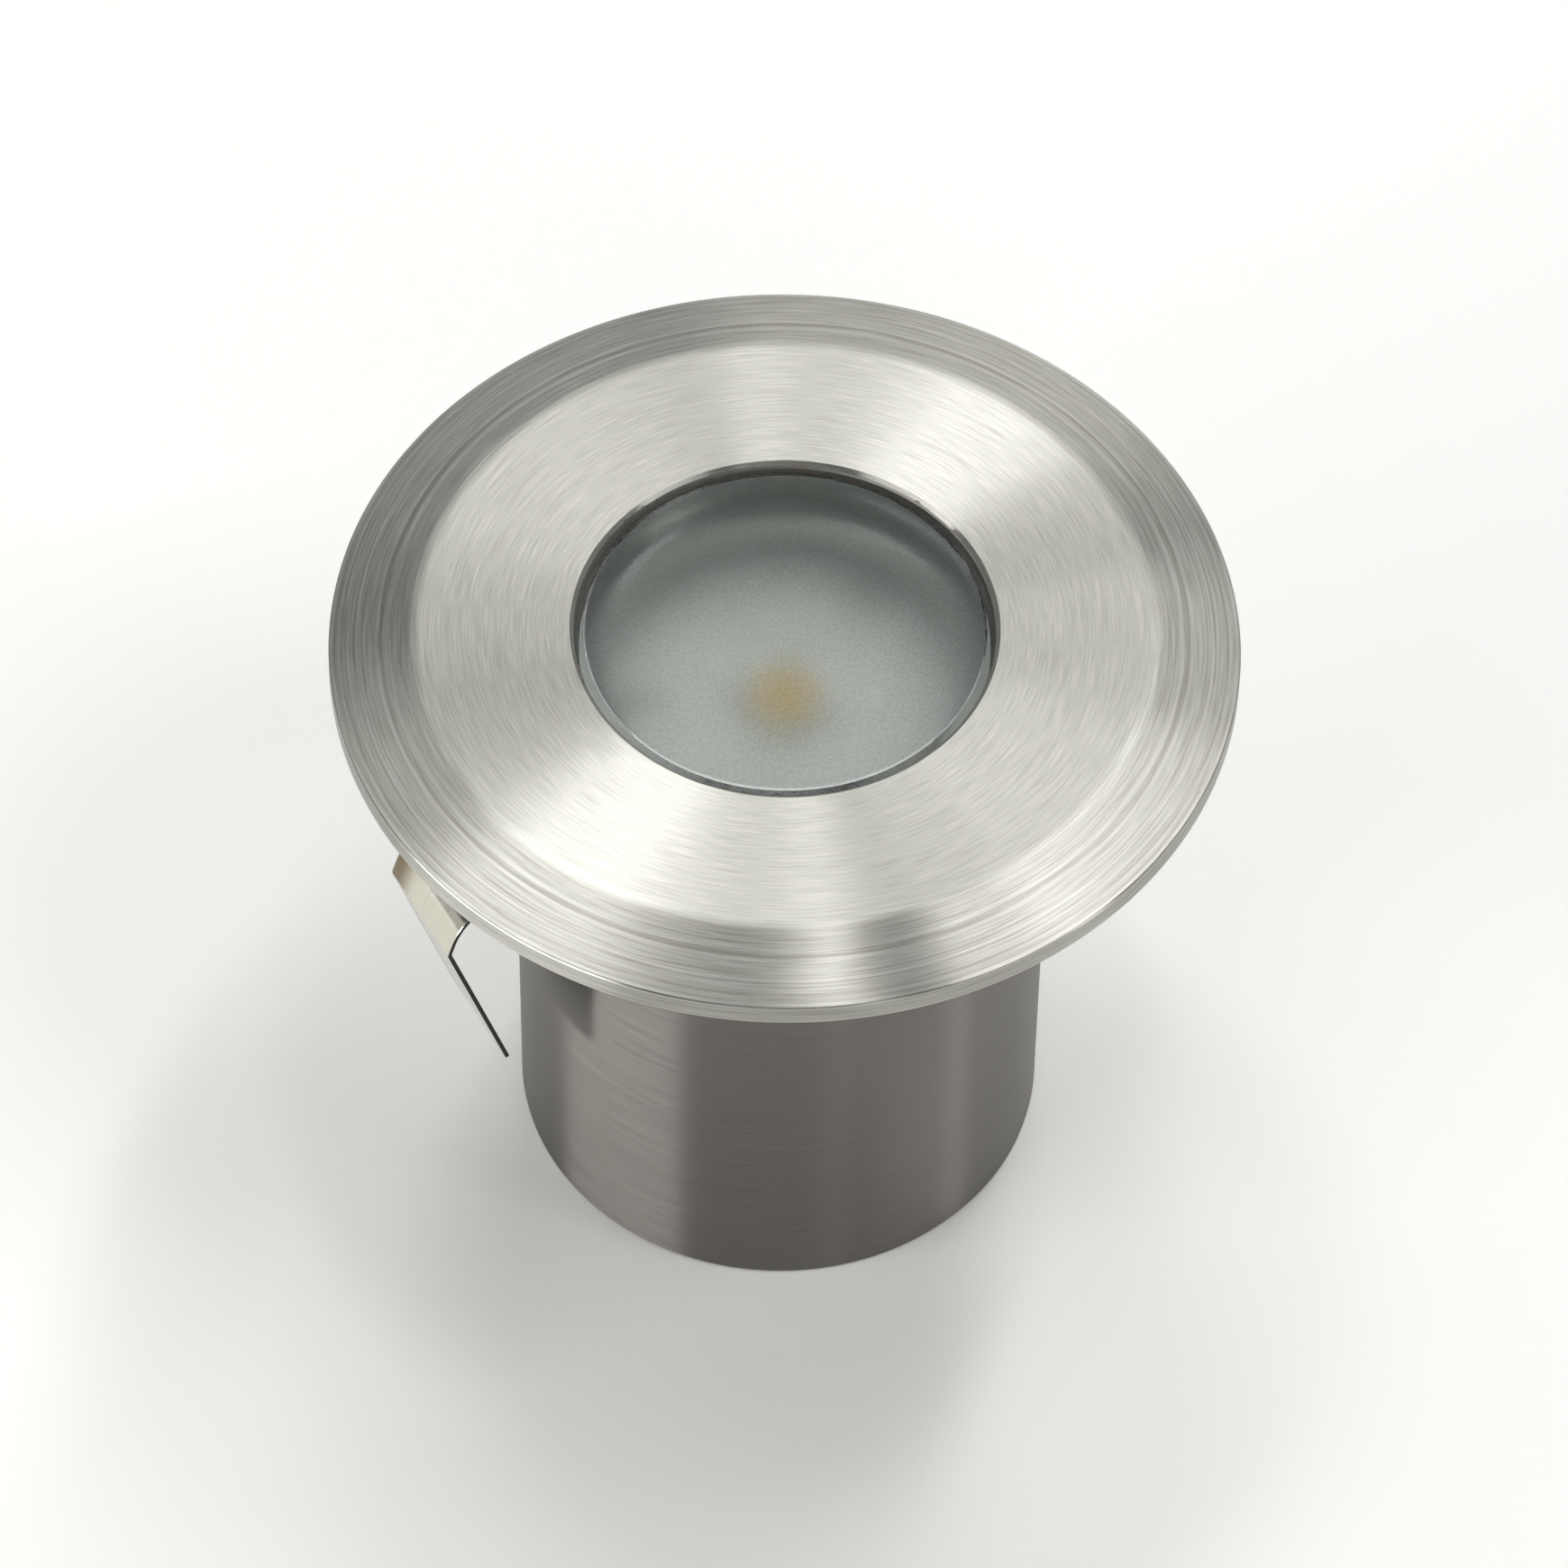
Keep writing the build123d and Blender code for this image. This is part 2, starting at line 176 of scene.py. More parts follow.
def softCorners(corners, closed=True, arcSteps=5, hold=0.06):
    # corners (across, up, rounding): each becomes an arc that touches both its runs, with a point held
    # close to each end of the arc, so that smooth shading stays flat along the runs
    corners = np.array(corners, float)
    spots = corners[:, :2]
    middle = spots if closed else spots[1:-1]
    before = (np.roll(spots, 1, 0) if closed else spots[:-2]) - middle
    after = (np.roll(spots, -1, 0) if closed else spots[2:]) - middle
    before = before / np.linalg.norm(before, axis=1, keepdims=True)
    after = after / np.linalg.norm(after, axis=1, keepdims=True)
    rounding = (corners if closed else corners[1:-1])[:, 2:]
    cosine = np.sum(before * after, 1, keepdims=True)
    reach = rounding * np.sqrt((1 + cosine) / (1 - cosine))  # from the corner to where its arc starts
    centre = middle + (before + after) / np.sqrt(2 + 2 * cosine) * np.hypot(rounding, reach)
    start = middle + before * reach - centre
    stop = middle + after * reach - centre
    swing = np.pi - np.arccos(np.clip(cosine, -1, 1))
    share = np.linspace(0, 1, arcSteps + 1)[None, :, None]
    arcs = np.sin((1 - share) * swing[:, None]) * start[:, None]
    arcs = arcs + np.sin(share * swing[:, None]) * stop[:, None]
    arcs = arcs / np.sin(swing)[:, None] + centre[:, None]
    first = (middle + before * (reach + hold))[:, None]
    last = (middle + after * (reach + hold))[:, None]
    points = np.concatenate([first, arcs, last], 1).reshape(-1, 2)
    return points if closed else np.concatenate([spots[:1], points, spots[-1:]])


def insideOut(points, faces):
    # true if the closed surface of four-cornered faces holds a negative volume
    a, b, c, d = (points - points.mean(0))[faces.T]
    return np.sum(np.cross(a, b) * c) + np.sum(np.cross(a, c) * d) < 0


def makePiece(name, points, faces, finishes, caps=()):
    # a smooth mesh from whole arrays: points in mm, the four-cornered faces of a grid and its end faces
    flip = -1 if insideOut(points, faces) else 1
    mesh = bpy.data.meshes.new(name)
    mesh.from_pydata((points * mm).tolist(), [], [face[::flip] for face in faces.tolist() + list(caps)])
    mesh.shade_smooth()
    for finish in finishes:
        mesh.materials.append(finish)
    piece = bpy.data.objects.new(name, mesh)
    scene.collection.objects.link(piece)
    return piece


def endFaces(rows, columns):
    # one face over the first ring of a grid and one over the last
    first = np.arange(columns)
    return [first.tolist(), (first + (rows - 1) * columns)[::-1].tolist()]


def fullTurn(count):
    # that many angles, evenly round the axis
    return np.linspace(0, 2 * np.pi, count, endpoint=False)


def turnedPoints(profile, angles):
    # each profile point (radius, height) carried round the axis
    radius, height = profile[:, :1], profile[:, 1:]
    ring = [radius * np.cos(angles), radius * np.sin(angles), height + 0 * angles]
    return np.stack(ring, -1)


# finishes

noiseSpan = (0.3, 0.7)  # where most of a noise's values lie


def addMath(tree, operation, *values):
    # a sum on numbers
    return addNode(tree, "ShaderNodeMath", dict(enumerate(values)), operation=operation).outputs[0]


def addVector(tree, operation, *values, output="Vector"):
    # a sum on vectors
    node = addNode(tree, "ShaderNodeVectorMath", dict(enumerate(values)), operation=operation)
    return node.outputs[output]


def addRange(tree, value, source, target=(0.0, 1.0), **settings):
    # a value carried from one range into another
    ends = {0: value, 1: source[0], 2: source[1], 3: target[0], 4: target[1]}
    return addNode(tree, "ShaderNodeMapRange", ends, **settings).outputs[0]


def addMix(tree, share, first, second):
    # two colours, each a hex or a socket
    first, second = (linear(c) if isinstance(c, str) else c for c in (first, second))
    return addNode(tree, "ShaderNodeMix", {0: share, 6: first, 7: second}, data_type="RGBA").outputs[2]


def addNoise(tree, vector, detail, grain=None, roughness=0.5):
    # noise with a grain in mm, or of one unit where the vector is scaled already
    scale = 1.0 if grain is None else 1 / (grain * mm)
    inputs = {"Vector": vector, "Scale": scale, "Detail": detail, "Roughness": roughness}
    return addNode(tree, "ShaderNodeTexNoise", inputs).outputs[0]


def addBump(tree, height, depth, under=None):
    # relief of a depth in mm, over another relief if there is one
    inputs = {"Height": height, "Distance": depth * mm, "Strength": 1.0}
    if under is not None:
        inputs["Normal"] = under
    return addNode(tree, "ShaderNodeBump", inputs).outputs[0]


bezelFinish = {
    "colour": "#C3C2BC",
    "shade": "#96958D",
    "roughness": (0.275, 0.29),
    "anisotropy": 1.0,
    "lineWidth": 0.10,  # mm; the real brush marks are about 0.03 mm
    "lineLength": 2.5,  # mm, at the radius of the body
    "lineDepth": 0.0005,  # mm
    "lineShade": 1.25,  # how strongly they show as colour
    "grooveFrom": (24.0, 25.0),  # mm from the axis, where the coarser marks of the bevel begin
    "grooveWidth": 0.32,  # mm, of the widest
    "grooveLength": 12.0,  # mm, over which they come and go
    "grooveLeast": 0.3,  # what is left of them where they go
    "grooveFade": (0.3, 0.65),  # the noise between least and whole
    "grooveDepth": 0.009,  # mm
    "grooveShade": 2.6,
    "groovePaintedShade": -0.10,  # painted shade: how much darker the steel is painted where the grooves lie, on the bevel
}
# the same stainless steel as the bezel's, with its colour painted darker: painted shade for the dark reflections
# that the wall shows
shadedBodyFinish = {
    "colour": "#87847F",
    "shade": "#716E6A",
    "roughness": (0.30, 0.34),
    "anisotropy": 1.0,
    "lineWidth": 0.16,
    "lineLength": 6.0,
    "lineDepth": 0.0008,
    "lineShade": 0.8,
    "grooveFrom": (0.0, 1.0),
    "grooveWidth": 1.2,
    "grooveLength": 18.0,
    "grooveLeast": 0.3,
    "grooveFade": (0.3, 0.65),
    "grooveDepth": 0.003,
    "grooveShade": 0.5,
    "groovePaintedShade": 0.0,
}


def brushedSteel(name, finish):
    # Stainless steel, turned and brushed on the lathe: fine marks that run round the axis, so that light
    # draws out into fans across them while it stays sharp along them. Coarser grooves, which keep to
    # circles and come and go, lie among them further out than a given radius, as on the bezel's bevel.
    material, tree, coords = newMaterial(name)
    flat = addVector(tree, "MULTIPLY", coords, (1, 1, 0))
    radius = addVector(tree, "LENGTH", flat, output="Value")
    heading = addVector(tree, "NORMALIZE", flat)
    height = addNode(tree, "ShaderNodeSeparateXYZ", {0: coords}).outputs["Z"]
    across = addMath(tree, "ADD", radius, height)
    upright = addNode(tree, "ShaderNodeCombineXYZ", {"Z": across}).outputs[0]
    path = addVector(tree, "ADD", heading, upright)
    body = boxOf("housing")[1][0]

    def drawnOut(length, width):
        # the path scaled to marks of this length and width in mm
        turns = body / length
        return addVector(tree, "MULTIPLY", path, (turns, turns, 1 / (width * mm)))

    marks = addNoise(tree, drawnOut(finish["lineLength"], finish["lineWidth"]), detail=1.5)
    drift = addNoise(tree, drawnOut(finish["grooveLength"], finish["grooveWidth"]), detail=1.0)
    fade = addRange(tree, drift, finish["grooveFade"], (finish["grooveLeast"], 1.0))
    steps = addMath(tree, "MULTIPLY", across, 1 / (finish["grooveWidth"] * mm))
    rings = addNode(tree, "ShaderNodeTexNoise", noise_dimensions="1D", inputs={
        "W": steps, "Scale": 1.0, "Detail": 4.0, "Roughness": 0.7}).outputs[0]
    grooved = addRange(tree, radius, [edge * mm for edge in finish["grooveFrom"]])
    middle = addMath(tree, "SUBTRACT", rings, 0.5)
    faded = addMath(tree, "MULTIPLY", middle, fade)
    cut = addMath(tree, "MULTIPLY", faded, grooved)
    half = finish["lineShade"] / 2
    shown = addRange(tree, marks, (0.0, 1.0), (0.5 - half, 0.5 + half), clamp=False)
    # painted shade: the steel's colour is darkened where the grooves lie, standing in for the darker light on the
    # bevel
    paintedShadeShown = addMath(tree, "MULTIPLY_ADD", grooved, finish["groovePaintedShade"], shown)
    both = addMath(tree, "MULTIPLY_ADD", cut, finish["grooveShade"], paintedShadeShown)
    fine = addBump(tree, marks, finish["lineDepth"])
    showSurface(tree, "ShaderNodeBsdfPrincipled", {
        "Base Color": addMix(tree, both, finish["shade"], finish["colour"]),
        "Metallic": 1.0,
        "Roughness": addRange(tree, both, noiseSpan, finish["roughness"]),
        "Normal": addBump(tree, cut, finish["grooveDepth"], fine),
        "Tangent": addNode(tree, "ShaderNodeTangent", direction_type="RADIAL", axis="Z").outputs[0],
        "Anisotropic": finish["anisotropy"],
        "Anisotropic Rotation": 0.25,  # a quarter turn: the fans run across the marks
    })
    return material


stripFinish = {
    "colour": "#DBD7CA",
    "shade": "#C6C2B6",
    "paintedShade": "#7E735F",
    "paintedShadeFrom": (-1.2, -3.4),  # mm across the strip, where the painted shade begins and where it is full
    "roughness": (0.11, 0.20),
    "lineWidth": 0.12,  # mm; the real rolling marks are finer
    "lineLength": 6.0,  # mm
    "markDepth": 0.0012,  # mm
}


def rolledSteel(finish):
    # Spring steel strip, cold-rolled: bright, with faint straight lines along its length, and a brown
    # painted shade towards one edge, where the flange above darkens it.
    material, tree, coords = newMaterial("springSteelColdRolled")
    scale = (1 / finish["lineLength"] / mm, 1 / finish["lineWidth"] / mm, 1 / finish["lineLength"] / mm)
    lines = addNode(tree, "ShaderNodeMapping", {"Vector": coords, "Scale": scale}).outputs[0]
    marks = addNoise(tree, lines, detail=3.0)
    bright = addMix(tree, marks, finish["shade"], finish["colour"])
    sideways = addNode(tree, "ShaderNodeAttribute", attribute_name="sideways").outputs["Fac"]
    # painted shade: a brown darkening towards one edge of the strip
    shadedShare = addRange(tree, sideways, finish["paintedShadeFrom"], interpolation_type="SMOOTHSTEP")
    showSurface(tree, "ShaderNodeBsdfPrincipled", {
        "Base Color": addMix(tree, shadedShare, bright, finish["paintedShade"]),
        "Metallic": 1.0,
        "Roughness": addRange(tree, marks, noiseSpan, finish["roughness"]),
        "Normal": addBump(tree, marks, finish["markDepth"]),
    })
    return material


frostFinish = {
    "shadeAcross": "#FFFFFF",
    "shade": "#DEE8E1",
    "roughness": (0.38, 0.46),
    "grain": 0.22,  # mm; the blasted grit is about 0.05 mm
    "grainDepth": 0.02,  # mm
    "clear": 0.98,  # the rest is lost in the frosting as white scatter
    "ior": 1.52,
    "shine": "#BFCBBF",  # the blasted pits trap some of what a smooth face would throw back
    "speckFrom": (0.4, 0.6),  # the noise between its shade and its tint
}


def frostedGlass(finish):
    # Soda-lime glass, sandblasted on its face: a fine white grain that blurs what lies under it.
    material, tree, coords = newMaterial("sodaLimeGlassSandblasted")
    grain = addNoise(tree, coords, detail=1.0, grain=finish["grain"], roughness=0.6)
    speck = addRange(tree, grain, finish["speckFrom"])
    showSurface(tree, "ShaderNodeBsdfPrincipled", {
        "Base Color": addMix(tree, speck, finish["shade"], finish["shadeAcross"]),
        "Roughness": addRange(tree, grain, noiseSpan, finish["roughness"]),
        "Normal": addBump(tree, grain, finish["grainDepth"]),
        "IOR": finish["ior"],
        "Specular Tint": linear(finish["shine"]),
        "Transmission Weight": finish["clear"],
    })
    return material


polishFinish = {
    "shadeAcross": "#FBFEFC",
    "roughness": (0.02, 0.10),
    "grain": 0.4,  # mm
    "hazeFrom": (0.35, 0.7),  # the noise between its least and most roughness
    "ior": 1.52,
}


def polishedGlass(finish):
    # Soda-lime glass, ground and flame-polished at its edge: clear, with a slight green tint.
    material, tree, coords = newMaterial("sodaLimeGlassPolished")
    haze = addNoise(tree, coords, detail=3.0, grain=finish["grain"])
    showSurface(tree, "ShaderNodeBsdfPrincipled", {
        "Base Color": linear(finish["shadeAcross"]),
        "Roughness": addRange(tree, haze, finish["hazeFrom"], finish["roughness"]),
        "IOR": finish["ior"],
        "Transmission Weight": 1.0,
    })
    return material


def mottled(name, colour, shade, roughness, grain, depth, metallic=0.0):
    # A surface whose colour, gloss and relief all follow one fine grain (mm), as moulded, cast, pressed
    # or turned pieces have. The values say which.
    material, tree, coords = newMaterial(name)
    speck = addNoise(tree, coords, detail=4.0, grain=grain, roughness=0.6)
    showSurface(tree, "ShaderNodeBsdfPrincipled", {
        "Base Color": addMix(tree, speck, shade, colour),
        "Metallic": metallic,
        "Roughness": addRange(tree, speck, noiseSpan, roughness),
        "Normal": addBump(tree, speck, depth),
    })
    return material


steel = brushedSteel("stainlessSteelLatheBrushed", bezelFinish)
shadedBodySteel = brushedSteel("stainlessSteelBrushedShaded", shadedBodyFinish)
strip = rolledSteel(stripFinish)
frost = frostedGlass(frostFinish)
polish = polishedGlass(polishFinish)

# each slot of the record: name, colour, shade, roughness, grain mm, depth mm, and 1.0 where it is metal
plainFinishes = {
    "screw_steel": mottled("stainlessSteelColdHeaded", "#BDBBB6", "#9E9B96", (0.2, 0.34), 0.3, 0.002, 1.0),
    "clear_silicone": mottled("siliconeSqueezedOut", "#7C7970", "#55524B", (0.25, 0.5), 0.25, 0.02),
    "white_silicone": mottled("siliconeDamTranslucent", "#E9D9A4", "#DECB90", (0.45, 0.6), 0.3, 0.004),
    # the rubber and the dark acetal are paler than real ones, for the soft fade seen through the frost
    "black_rubber": mottled("rubberMouldedBlack", "#434643", "#353835", (0.5, 0.7), 0.25, 0.006),
    "dark_plastic": mottled("acetalMouldedDark", "#3B443B", "#313A31", (0.35, 0.5), 0.3, 0.003),
    "white_board": mottled("whiteSolderMaskPrinted", "#FAFBF8", "#F0F2EE", (0.3, 0.45), 0.5, 0.003),
    "white_ceramic": mottled("aluminaFired", "#EDEBE4", "#DEDBD2", (0.35, 0.5), 0.12, 0.002),
    "yellow_phosphor": mottled("phosphorSiliconeCast", "#E9BE3C", "#DCAC28", (0.25, 0.4), 0.15, 0.004),
    "grey_pad": mottled("siliconePadCalendered", "#8C8F92", "#797C7F", (0.6, 0.8), 0.2, 0.006),
    "aluminium": mottled("aluminiumTurned", "#CFD0D1", "#B8B9BA", (0.25, 0.4), 0.2, 0.002, 1.0),
    "white_insulation": mottled("pvcExtrudedWhite", "#E9E7E0", "#D9D7D0", (0.35, 0.5), 0.3, 0.003),
    "green_board": mottled("epoxyBoardGreenMask", "#1F6A3C", "#175530", (0.25, 0.4), 0.5, 0.004),
    "brass": mottled("brassTurned", "#D0AC5C", "#B18E43", (0.2, 0.35), 0.2, 0.002, 1.0),
    "ferrite": mottled("ferriteSintered", "#35363A", "#26272A", (0.45, 0.65), 0.1, 0.004),
    "copper_wire": mottled("copperWireEnamelled", "#B4632F", "#93481F", (0.2, 0.35), 0.25, 0.01, 1.0),
    "black_sleeve": mottled("pvcSleeveShrunk", "#26272B", "#1A1B1E", (0.3, 0.45), 0.4, 0.003),
    "black_resin": mottled("epoxyTransferMoulded", "#2B2B2C", "#1E1E1F", (0.5, 0.65), 0.08, 0.004),
    "green_plastic": mottled("polyamideMouldedGreen", "#2F8A4A", "#257239", (0.35, 0.5), 0.2, 0.003),
    "plated_brass": mottled("brassNickelPlated", "#C9C6BF", "#ACA9A2", (0.2, 0.35), 0.25, 0.002, 1.0),
}
# Spring steel where the strip was sheared: dull, without the rolled skin's shine, and painted dark as painted
# shade for the edge-on leg.
shearedEdgeShaded = mottled("springSteelShearedShaded", "#4A4845", "#33322F", (0.5, 0.65), 0.08, 0.004, 1.0)
slotFinishes = {
    **plainFinishes, "turned_stainless": steel, "spring_steel": strip, "frosted_glass": frost}


def dressNodes():
    # every CAD node takes the finish of its slot in the record
    for part in frame["record"]["subparts"]:
        mesh = frame["nodes"][part["node"]].data
        mesh.materials.clear()
        mesh.materials.append(slotFinishes[part["material_slot"]])


dressNodes()
print("finishes made:", len(slotFinishes))


# bezel

bezelShape = {
    "glassGap": 0.15,
    "apertureChamfer": 0.26,
    "apertureGrowth": 0.14,  # what the glass and its bore gain over the CAD by the smaller chamfer
    "bevelWidth": 5.6,
    "bevelDrop": 1.4,
    "bevelBlend": 4.0,
    "rimRound": 0.15,
    "edgeRound": 0.06,
    "ledgeWidth": 1.6,
    "skirtWall": 1.2,
    "spacerGap": 0.1,
    "landRadius": 21.5,
    "relief": 0.5,
    "turns": 360,
}


def makeBezel(shape):
    low, high = boxOf("bezel")
    top, rim = high[2], high[0]
    edge = shape["edgeRound"]
    bore = boxOf("lens_glass")[1][0] + shape["glassGap"]
    aperture = bore + shape["apertureGrowth"]
    ledgeTop = boxOf("lens_gasket")[0][2]
    ledgeBottom = boxOf("spacer_ring")[1][2]
    skirtBore = boxOf("spacer_ring")[1][0] + shape["spacerGap"]
    skirt = bore + shape["skirtWall"]
    ledge = bore - shape["ledgeWidth"]
    land = shape["landRadius"]
    profile = softCorners([
        (aperture, ledgeTop, edge),
        (aperture, top - shape["apertureChamfer"], edge / 2),
        (aperture + shape["apertureChamfer"], top, edge / 2),
        (rim - shape["bevelWidth"], top, shape["bevelBlend"]),
        (rim, top - shape["bevelDrop"], shape["rimRound"]),
        (rim, 0, shape["rimRound"]),
        (land, 0, edge),
        (land, shape["relief"], edge),
        (skirt, shape["relief"], edge),
        (skirt, low[2], edge),
        (skirtBore, low[2], edge),
        (skirtBore, ledgeBottom, edge),
        (ledge, ledgeBottom, edge),
        (ledge, ledgeTop, edge),
    ])
    angles = fullTurn(shape["turns"])
    points = turnedPoints(profile, angles).reshape(-1, 3)
    faces = gridFaces(len(profile), len(angles), wrapRows=True)
    piece = makePiece("bezelRing", points, faces, [steel])
    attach(piece, "light")
    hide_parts("bezel")


makeBezel(bezelShape)
print("bezel made")


# clips: one bent strip each, whose foot is screwed to the body and whose leaf springs

clipShape = {
    "thickness": 0.3,
    "rootBend": 1.35,  # radii to the middle of the strip
    "shelf": 3.84,
    "shoulderBend": 4.4,
    "shoulderTurn": 71.0,
    "brow": 1.0,
    "noseBend": 0.5,
    "legLean": 16.0,
    "edgeRound": 0.07,  # where the sheared edges were broken
    "tipRound": 0.8,
    "flexAngle": 43.0,  # where the root bend flexes, from where it leaves the body
    "flexReach": 0.35,  # to each side of that
    "bendSteps": 16,
    "edgeSteps": 3,
    "edgeHold": 0.02,
    "tipSteps": 9,
}
clipHinges = {joint["name"]: np.array(joint["pos_m"]) / mm for joint in frame["joints"]}
clipHinge = clipHinges["right_clip_flex"]


def clipLine(shape):
    # middle line of the right-hand clip seen from its edge: corners (outwards, up) with a bend at each
    foot = boxOf("clip_foot_right")
    wall = foot[0][0] + shape["thickness"] / 2
    level = clipHinge[2] - shape["rootBend"]
    turn = np.radians(shape["shoulderTurn"])
    lean = np.radians(shape["legLean"])
    swing = shape["shoulderBend"] * np.tan(turn / 2)
    shoulder = np.array([clipHinge[0] + shape["shelf"] + swing, level])
    nose = shoulder + (swing + shape["brow"]) * np.array([np.cos(turn), -np.sin(turn)])
    drop = nose[1] - boxOf("clip_leaf_right")[0][2] - shape["thickness"] / 2 * np.sin(lean)
    tip = nose + drop * np.array([-np.tan(lean), -1])
    return [
        (wall, foot[1][2], 0),
        (wall, level, shape["rootBend"]),
        (*shoulder, shape["shoulderBend"]),
        (*nose, shape["noseBend"]),
        (*tip, 0),
    ]


def makeClip(side, turn, shape):
    # a rounded strip section carried along the middle line, square to it, narrowed at the tip's corners
    path = softCorners(clipLine(shape), closed=False, arcSteps=shape["bendSteps"])
    along = np.concatenate([[0], np.cumsum(np.linalg.norm(np.diff(path, axis=0), axis=1))])
    tipSteps = along[-1] - shape["tipRound"] * np.linspace(0, 1, shape["tipSteps"]) ** 2
    steps = np.unique(np.concatenate([along[:-1], tipSteps]).round(6))
    path = np.stack([np.interp(steps, along, path[:, 0]), np.interp(steps, along, path[:, 1])], 1)
    run = np.gradient(path, steps, axis=0)
    run /= np.linalg.norm(run, axis=1, keepdims=True)
    half, width, edge = shape["thickness"] / 2, boxOf("clip_leaf_right")[1][1], shape["edgeRound"]
    section = softCorners(
        [(-half, -width, edge), (half, -width, edge), (half, width, edge), (-half, width, edge)],
        arcSteps=shape["edgeSteps"], hold=shape["edgeHold"])
    tip = np.clip(1 - (steps[-1] - steps) / shape["tipRound"], 0, 1)
    narrow = shape["tipRound"] * (1 - np.sqrt(1 - tip ** 2)) / width
    outward = path[:, :1] - run[:, 1:] * section[:, 0]
    upward = path[:, 1:] + run[:, :1] * section[:, 0]
    sideways = (1 - narrow[:, None]) * section[:, 1]
    points = np.stack([outward * turn, sideways * turn, upward], -1).reshape(-1, 3)
    faces = gridFaces(len(steps), len(section))
    piece = makePiece(f"{side}ClipStrip", points, faces, [strip, shearedEdgeShaded],
                      endFaces(len(steps), len(section)))
    shadeAcross = piece.data.attributes.new("sideways", "FLOAT", "POINT")  # mm from the strip's middle
    shadeAcross.data.foreach_set("value", sideways.ravel().astype(np.float32))
    middles = (section[:, 1] + np.roll(section[:, 1], -1)) / 2
    sheared = np.tile(np.abs(middles) > width - edge / 2, len(steps) - 1)
    piece.data.polygons.foreach_set("material_index", np.append(sheared, [True, True]).astype(np.int32))
    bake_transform(piece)
    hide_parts(f"clip_foot_{side}", f"clip_leaf_{side}")


makeClip("right", 1, clipShape)
makeClip("left", -1, clipShape)
print("clips made")


# clip screws: pan heads with a cross recess

screwShape = {
    "headRound": 0.6,
    "crown": 0.12,  # rise of the head's middle
    "cornerDrop": 1.1,  # of the crown, where the top would meet the side
    "edgeRound": 0.05,
    "shank": 1.0,
    "armLength": 1.05,
    "armWidth": 0.46,
    "recess": 0.75,
    "recessSoft": 0.14,
    "recessTaper": 0.4,  # how much shallower the arms are at their ends
    "hub": 0.04,  # radius of the first ring of points
    "brim": 0.1,  # between the last ring and the rounding
    "rings": 26,
    "columns": 120,
}


def makeScrews(shape):
    # a head turned from its half section, whose top is sunk where it lies within either arm of the cross
    low, high = boxOf("clip_screws")
    head, centre = high[1], (low[2] + high[2]) / 2
    seat = boxOf("clip_foot_right")[0][0] + clipShape["thickness"]
    tall = high[0] - seat
    inner = np.linspace(shape["hub"], head - shape["headRound"] - shape["brim"], shape["rings"])
    top = np.stack([inner, tall - shape["crown"] * (inner / head) ** 2], 1)
    side = softCorners([
        (inner[-1], top[-1, 1], 0),
        (head, tall - shape["crown"] * shape["cornerDrop"], shape["headRound"]),
        (head, 0, shape["edgeRound"]),
        (shape["shank"], 0, shape["edgeRound"]),
        (shape["shank"], -clipShape["thickness"], 0),
    ], closed=False)
    profile = np.concatenate([top, side[1:]])
    angles = fullTurn(shape["columns"])
    points = turnedPoints(profile, angles)
    x, y = np.abs(points[:, :, 0]), np.abs(points[:, :, 1])
    half, arm = shape["armWidth"] / 2, shape["armLength"]
    away = np.minimum(np.maximum(x - half, y - arm), np.maximum(y - half, x - arm))
    sunk = np.clip(0.5 - away / shape["recessSoft"], 0, 1)
    depth = shape["recess"] * (1 - shape["recessTaper"] * np.hypot(x, y) / arm)
    sunk = sunk ** 2 * (3 - 2 * sunk) * depth
    points[:len(top), :, 2] -= sunk[:len(top)]
    screw = np.stack([points[..., 2] + seat, points[..., 0], points[..., 1] + centre], -1).reshape(-1, 3)
    faces = gridFaces(len(profile), len(angles))
    both = np.concatenate([screw, screw * [-1, -1, 1]])
    caps = endFaces(len(profile), len(angles))
    caps += [[corner + len(screw) for corner in cap] for cap in caps]
    piece = makePiece("clipScrewHeads", both, np.concatenate([faces, faces + len(screw)]),
                      [slotFinishes["screw_steel"]], caps)
    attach(piece, "light")
    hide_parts("clip_screws")


makeScrews(screwShape)
print("clip screws made")


# housing

housingShape = {
    "wall": 3.0,
    "seatWidth": 0.8,
    "grooveGap": 0.05,
    "ringWidth": 1.2,
    "ringHeight": 1.0,
    "flatDepth": 0.5,
    "flatGap": 0.2,
    "flatSlope": 0.06,  # height of the flat's upper and lower ends
    "baseChamfer": 0.4,
    "edgeRound": 0.06,
    "glandGap": 0.1,
    "cableHole": 3.25,
    "baseLip": 1.3,
    "arcSteps": 5,
    "turns": 360,
}


